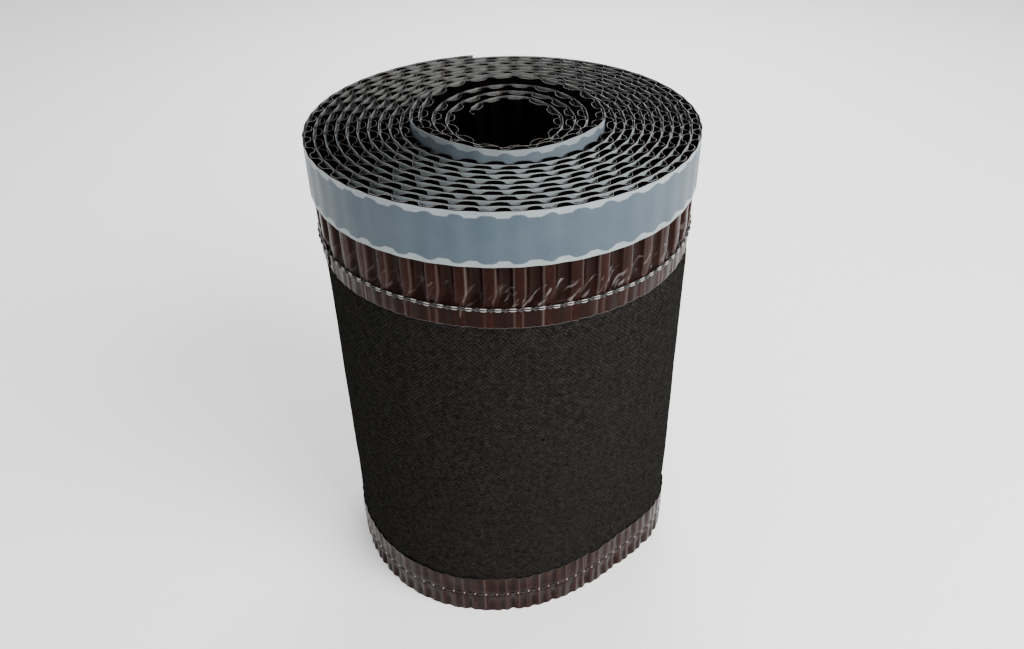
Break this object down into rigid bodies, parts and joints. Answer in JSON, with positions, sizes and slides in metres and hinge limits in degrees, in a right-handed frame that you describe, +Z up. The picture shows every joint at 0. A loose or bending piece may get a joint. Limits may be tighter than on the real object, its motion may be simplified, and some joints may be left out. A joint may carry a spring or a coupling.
{
  "type": "roll of roof flashing",
  "caption": "Roll of ventilated ridge flashing standing on end: black nonwoven band with pleated brown foil edges and a lined butyl strip, wound round an open bore.",
  "frame": {"origin": "on the roll's axis, in the plane that it stands on", "axes": "+Z up along the roll's axis, towards the end with the lined butyl strip"},
  "size_m": [0.1767, 0.1775, 0.246],
  "materials": {
    "nonwoven": "matt black polypropylene nonwoven",
    "lacquered_foil": "satin brown lacquer on pleated aluminium foil",
    "butyl": "tacky dark butyl",
    "liner": "siliconised pale film",
    "thread": "black sewing thread"
  },
  "bodies": {
    "root": {"nonwoven_band": "nonwoven", "upper_edge_strip": "lacquered_foil", "lower_edge_strip": "lacquered_foil", "butyl_strip": "butyl", "release_liner": "liner", "upper_seam_thread": "thread", "lower_seam_thread": "thread"}
  },
  "joints": []
}
